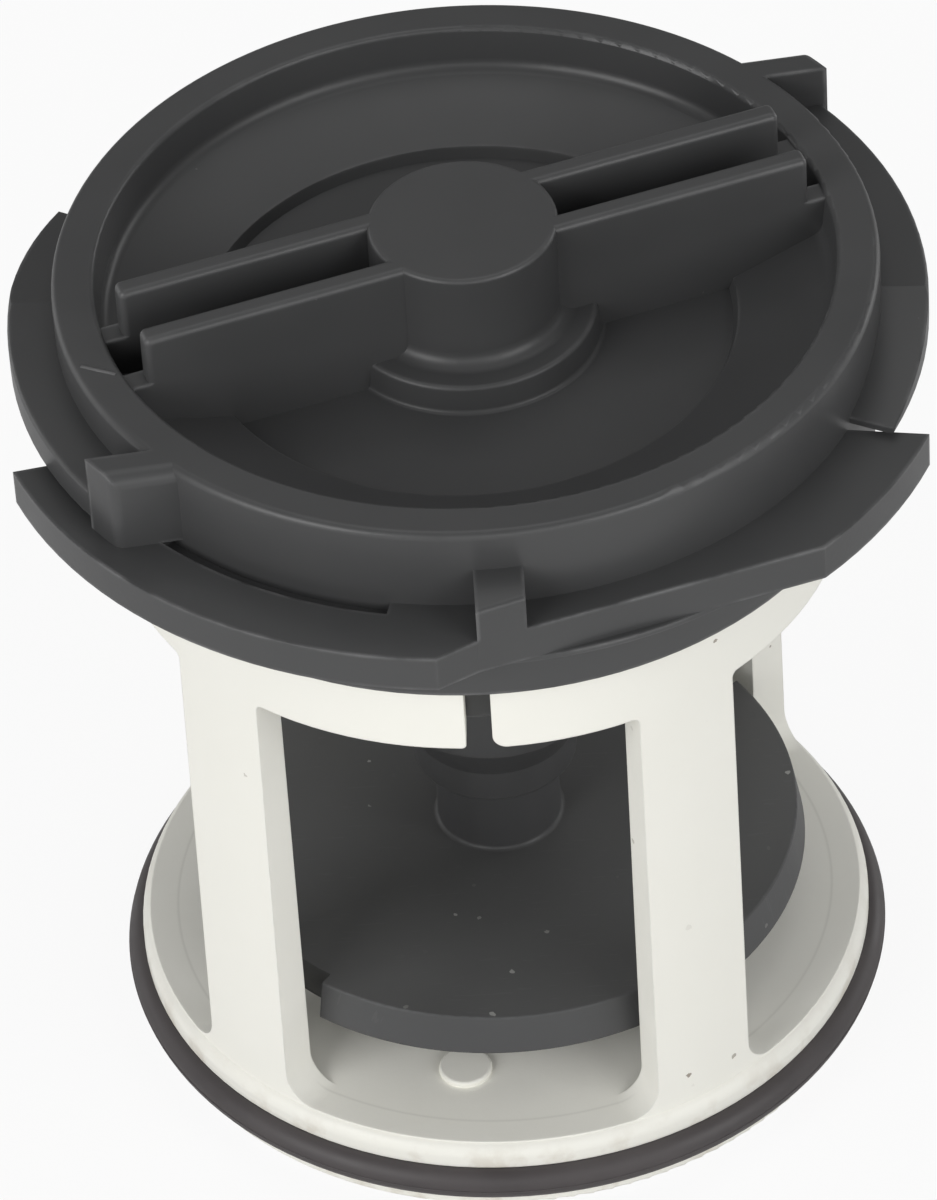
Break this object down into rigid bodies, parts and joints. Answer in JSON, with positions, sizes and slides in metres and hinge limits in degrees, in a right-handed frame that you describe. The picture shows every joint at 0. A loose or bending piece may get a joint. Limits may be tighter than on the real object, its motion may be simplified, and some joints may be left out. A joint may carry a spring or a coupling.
{
  "type": "drain pump filter",
  "caption": "Round drain pump filter with a bayonet cap, a finger bar in a dish, a slotted cage on a sealed base and a disc inside.",
  "frame": {"origin": "centre of the base's flat underside, on the axis the filter turns about", "axes": "+Z along the turning axis, from the base to the cap; -Y towards the slot in the cage's ring and the lug on the cap's collar"},
  "size_m": [0.0736, 0.0782, 0.0805],
  "materials": {
    "cap_plastic": "moulded, lightly polished",
    "cage_plastic": "moulded, satin",
    "disc_plastic": "moulded, lightly polished",
    "seal_rubber": "smooth"
  },
  "bodies": {
    "root": {"cap": "cap_plastic", "cage": "cage_plastic", "disc": "disc_plastic", "o_ring": "seal_rubber"}
  },
  "joints": []
}
